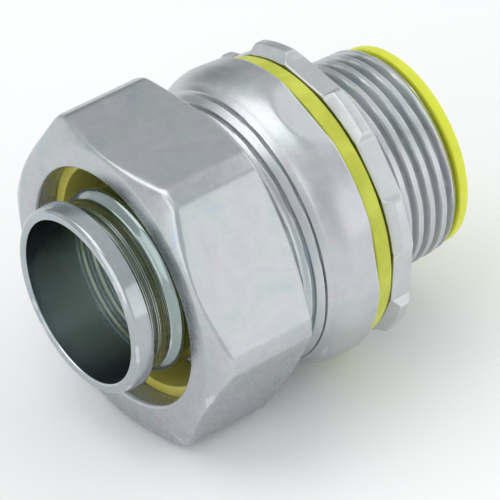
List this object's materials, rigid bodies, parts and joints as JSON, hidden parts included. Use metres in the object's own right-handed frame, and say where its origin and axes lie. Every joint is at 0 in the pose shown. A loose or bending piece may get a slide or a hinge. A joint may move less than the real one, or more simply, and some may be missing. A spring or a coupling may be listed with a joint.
{
  "type": "straight liquidtight conduit connector",
  "caption": "Straight compression connector for liquidtight flexible metal conduit: hexagonal gland nut, ferrule and sealing ring, domed body, gasket, locknut and threaded hub with a throat liner.",
  "frame": {"origin": "on the fitting's axis, half way between the ferrule's mouth and the face of the throat's lip, which is the centre of the bounding box", "axes": "+X along the axis from the ferrule's mouth to the box hub; +Z is the normal of one flat of the gland nut, so the part lies on its side; +Y completes the right-handed frame and points at a corner of the nut"},
  "size_m": [0.0588, 0.0514, 0.0476],
  "materials": {
    "plated_body": "bright zinc plate, lightly turned",
    "plated_nut": "bright zinc plate, faint blue and lilac passivation",
    "yellow_seal": "moulded, satin",
    "plated_ferrule": "rolled and polished, zinc plated",
    "yellow_gasket": "moulded, satin",
    "plated_locknut": "die cast, zinc plate, slightly pitted",
    "yellow_throat": "moulded, satin"
  },
  "bodies": {
    "connector_body": {"body": "plated_body", "insulated_throat": "yellow_throat"},
    "sealing_ring": {"sealing_ring": "yellow_seal"},
    "gland_nut": {"gland_nut": "plated_nut"},
    "ferrule": {"ferrule": "plated_ferrule"},
    "sealing_gasket": {"sealing_gasket": "yellow_gasket"},
    "locknut": {"locknut": "plated_locknut"}
  },
  "joints": [
    {"name": "gland_nut_travel", "type": "slide", "parent": "connector_body", "child": "sealing_ring", "axis": [1, 0, 0], "range_m": [-0.0064, 0.001]},
    {"name": "gland_nut_turn", "type": "hinge", "parent": "sealing_ring", "child": "gland_nut", "pos_m": [-0.0149, 0, 0], "axis": [1, 0, 0], "range_deg": [-1440, 225]},
    {"name": "ferrule_slide", "type": "slide", "parent": "connector_body", "child": "ferrule", "axis": [1, 0, 0], "range_m": [-0.015, 0]},
    {"name": "locknut_travel", "type": "slide", "parent": "connector_body", "child": "sealing_gasket", "axis": [1, 0, 0], "range_m": [0, 0.0155]},
    {"name": "locknut_turn", "type": "hinge", "parent": "sealing_gasket", "child": "locknut", "pos_m": [0.0118, 0, 0], "axis": [1, 0, 0], "range_deg": [0, 2520]}
  ],
  "couplings": [
    {"joint": "gland_nut_travel", "follows": "gland_nut_turn", "m_per_rad": 0.00025266},
    {"joint": "locknut_travel", "follows": "locknut_turn", "m_per_rad": 0.00035153}
  ]
}
